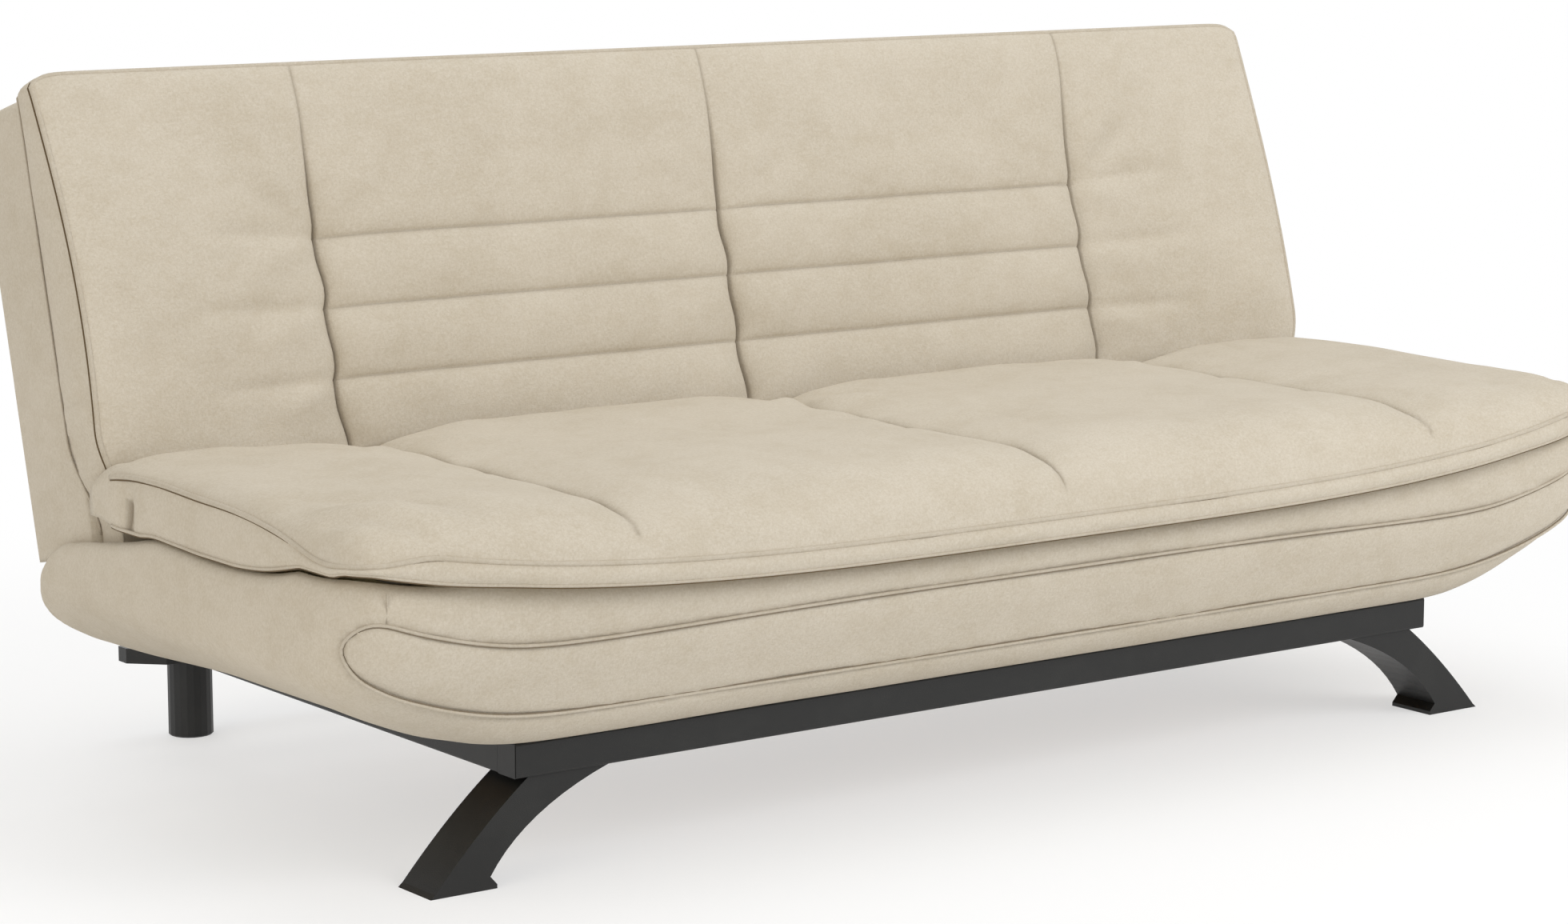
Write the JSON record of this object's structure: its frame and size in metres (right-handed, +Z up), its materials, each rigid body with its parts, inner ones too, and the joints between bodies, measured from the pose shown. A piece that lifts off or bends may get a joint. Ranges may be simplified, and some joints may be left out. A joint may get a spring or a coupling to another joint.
{
  "type": "click clack sofa bed",
  "caption": "Armless sofa bed with a boat-shaped tub on a black steel base, a tufted seat pad that lifts at its rear hinge and a channelled back that reclines flat.",
  "frame": {"origin": "on the floor, under the middle of the sofa's bounding box", "axes": "+X to the sofa's right end as seen from the front, +Y to the rear, +Z up; the front faces -Y"},
  "size_m": [1.978, 1.054, 0.902],
  "materials": {
    "beige_fabric": "matte woven beige upholstery fabric",
    "foam": "pale yellow polyurethane foam",
    "plywood": "plain plywood and softwood",
    "black_painted_steel": "satin black powder coat",
    "zinc_plated_steel": "zinc plated",
    "webbing": "woven elastic webbing"
  },
  "bodies": {
    "base": {"base_cover": "beige_fabric", "floor_panel": "plywood", "front_rib": "plywood", "middle_rib": "plywood", "rear_rib": "plywood", "end_batten_left": "plywood", "end_batten_right": "plywood", "front_rail": "black_painted_steel", "rear_rail": "black_painted_steel", "cross_rail": "black_painted_steel", "side_rail_left": "black_painted_steel", "side_rail_right": "black_painted_steel", "front_leg_left": "black_painted_steel", "front_leg_right": "black_painted_steel", "rear_leg_left": "black_painted_steel", "rear_leg_right": "black_painted_steel", "rear_leg_block_left": "black_painted_steel", "rear_leg_block_right": "black_painted_steel", "seat_pivot_pin_left": "zinc_plated_steel", "seat_pivot_pin_right": "zinc_plated_steel", "back_pivot_pin_left": "zinc_plated_steel", "back_pivot_pin_right": "zinc_plated_steel", "hinge_bracket_left": "zinc_plated_steel", "hinge_bracket_right": "zinc_plated_steel"},
    "seat": {"seat_pad": "beige_fabric", "seat_foam": "foam", "seat_front_board": "plywood", "seat_rear_board": "plywood", "seat_end_board_left": "plywood", "seat_end_board_right": "plywood", "seat_middle_board": "plywood", "seat_spring_1": "zinc_plated_steel", "seat_spring_2": "zinc_plated_steel", "seat_spring_3": "zinc_plated_steel", "seat_spring_4": "zinc_plated_steel", "seat_spring_5": "zinc_plated_steel", "seat_arm_left": "zinc_plated_steel", "seat_arm_right": "zinc_plated_steel"},
    "back": {"back_shell": "beige_fabric", "back_cushion": "beige_fabric", "back_foam": "foam", "back_bottom_board": "plywood", "back_top_board": "plywood", "back_end_post_left": "plywood", "back_end_post_right": "plywood", "back_middle_post_left": "plywood", "back_middle_post_right": "plywood", "back_panel": "plywood", "back_strap_1": "webbing", "back_strap_2": "webbing", "back_strap_3": "webbing", "back_strap_4": "webbing", "back_strap_5": "webbing", "back_arm_left": "zinc_plated_steel", "back_arm_right": "zinc_plated_steel"}
  },
  "joints": [
    {"name": "seat_lift", "type": "hinge", "parent": "base", "child": "seat", "pos_m": [0, 0.063, 0.385], "axis": [-1, 0, 0], "range_deg": [0, 22]},
    {"name": "back_recline", "type": "hinge", "parent": "base", "child": "back", "pos_m": [0, 0.188, 0.343], "axis": [-1, 0, 0], "range_deg": [0, 75]}
  ]
}
